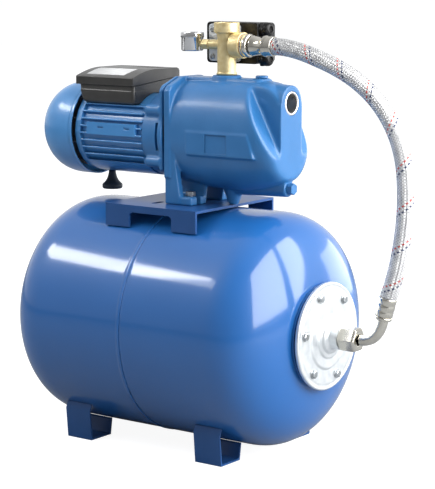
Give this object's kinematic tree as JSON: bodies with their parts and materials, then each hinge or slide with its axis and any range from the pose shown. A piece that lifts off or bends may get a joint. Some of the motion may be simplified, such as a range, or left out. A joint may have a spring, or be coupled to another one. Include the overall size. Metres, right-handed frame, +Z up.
{
  "type": "jet pump set on a pressure tank",
  "caption": "Self-priming jet pump with an electric motor on a horizontal pressure tank, with a branch fitting, pressure gauge, pressure switch and braided hose.",
  "frame": {"origin": "middle of the footprint, measured without the hose, on the floor under the tank's feet", "axes": "+X along the tank towards the flange and the suction port, +Z up, -Y the side the gauge and motor box are read from"},
  "size_m": [0.6633, 0.3558, 0.6478],
  "materials": {
    "tank_blue": "glossy blue enamel",
    "pump_blue": "semi-gloss blue paint on castings",
    "motor_blue": "semi-gloss blue paint",
    "zinc": "zinc-plated sheet and plate",
    "fasteners": "zinc-plated hardware",
    "machined_steel": "ground steel",
    "chrome_fittings": "polished plating",
    "brass_parts": "machined brass",
    "copper_winding": "varnished copper wire",
    "iron_cores": "bare iron",
    "black_plastic": "moulded black",
    "box_plastic": "moulded dark grey",
    "grey_plastic": "moulded grey",
    "rubber_parts": "dark rubber",
    "steel_braid": "woven stainless wire with two coloured tracer threads"
  },
  "bodies": {
    "pump_set": {"tank_rear_half": "tank_blue", "tank_front_half": "tank_blue", "tank_neck_ring": "tank_blue", "foot_front_left": "tank_blue", "foot_rear_left": "tank_blue", "foot_front_right": "tank_blue", "foot_rear_right": "tank_blue", "pump_bracket": "tank_blue", "pump_casing": "pump_blue", "priming_plug": "pump_blue", "motor_bracket": "pump_blue", "motor_frame": "motor_blue", "fan_cover": "motor_blue", "tank_flange": "zinc", "switch_flange": "zinc", "air_valve": "fasteners", "flange_bolt_1": "fasteners", "flange_bolt_2": "fasteners", "flange_bolt_3": "fasteners", "flange_bolt_4": "fasteners", "flange_bolt_5": "fasteners", "flange_bolt_6": "fasteners", "foot_bolt_front": "fasteners", "foot_bolt_rear": "fasteners", "casing_bolt_1": "fasteners", "casing_bolt_2": "fasteners", "casing_bolt_3": "fasteners", "casing_bolt_4": "fasteners", "drain_plug": "fasteners", "front_bearing": "machined_steel", "rear_bearing": "machined_steel", "mechanical_seal": "machined_steel", "gauge_case": "chrome_fittings", "hose_ring_nut": "chrome_fittings", "hose_upper_ferrule": "chrome_fittings", "hose_lower_ferrule": "chrome_fittings", "elbow": "chrome_fittings", "union_nut": "chrome_fittings", "manifold": "brass_parts", "stator_winding": "copper_winding", "stator_core": "iron_cores", "rear_end_shield": "iron_cores", "switch_base": "black_plastic", "switch_cover": "black_plastic", "switch_gland_upper": "black_plastic", "switch_gland_lower": "black_plastic", "terminal_box_base": "black_plastic", "diffuser": "black_plastic", "ejector": "black_plastic", "terminal_box_lid": "box_plastic", "capacitor": "grey_plastic", "bladder": "rubber_parts", "motor_foot": "rubber_parts", "casing_gasket": "rubber_parts", "hose": "steel_braid"},
    "rotor": {"shaft": "machined_steel", "rotor_core": "iron_cores", "fan": "grey_plastic", "impeller": "brass_parts"},
    "needle": {"gauge_needle": "black_plastic"}
  },
  "joints": [
    {"name": "rotor_spin", "type": "hinge", "parent": "pump_set", "child": "rotor", "pos_m": [-0.15374, 0, 0.4751], "axis": [1, 0, 0], "continuous": true},
    {"name": "needle_turn", "type": "hinge", "parent": "pump_set", "child": "needle", "pos_m": [-0.04574, 0, 0.6256], "axis": [0, 0, -1], "range_deg": [0, 270], "stiffness_Nm_per_rad": 0.0001}
  ]
}
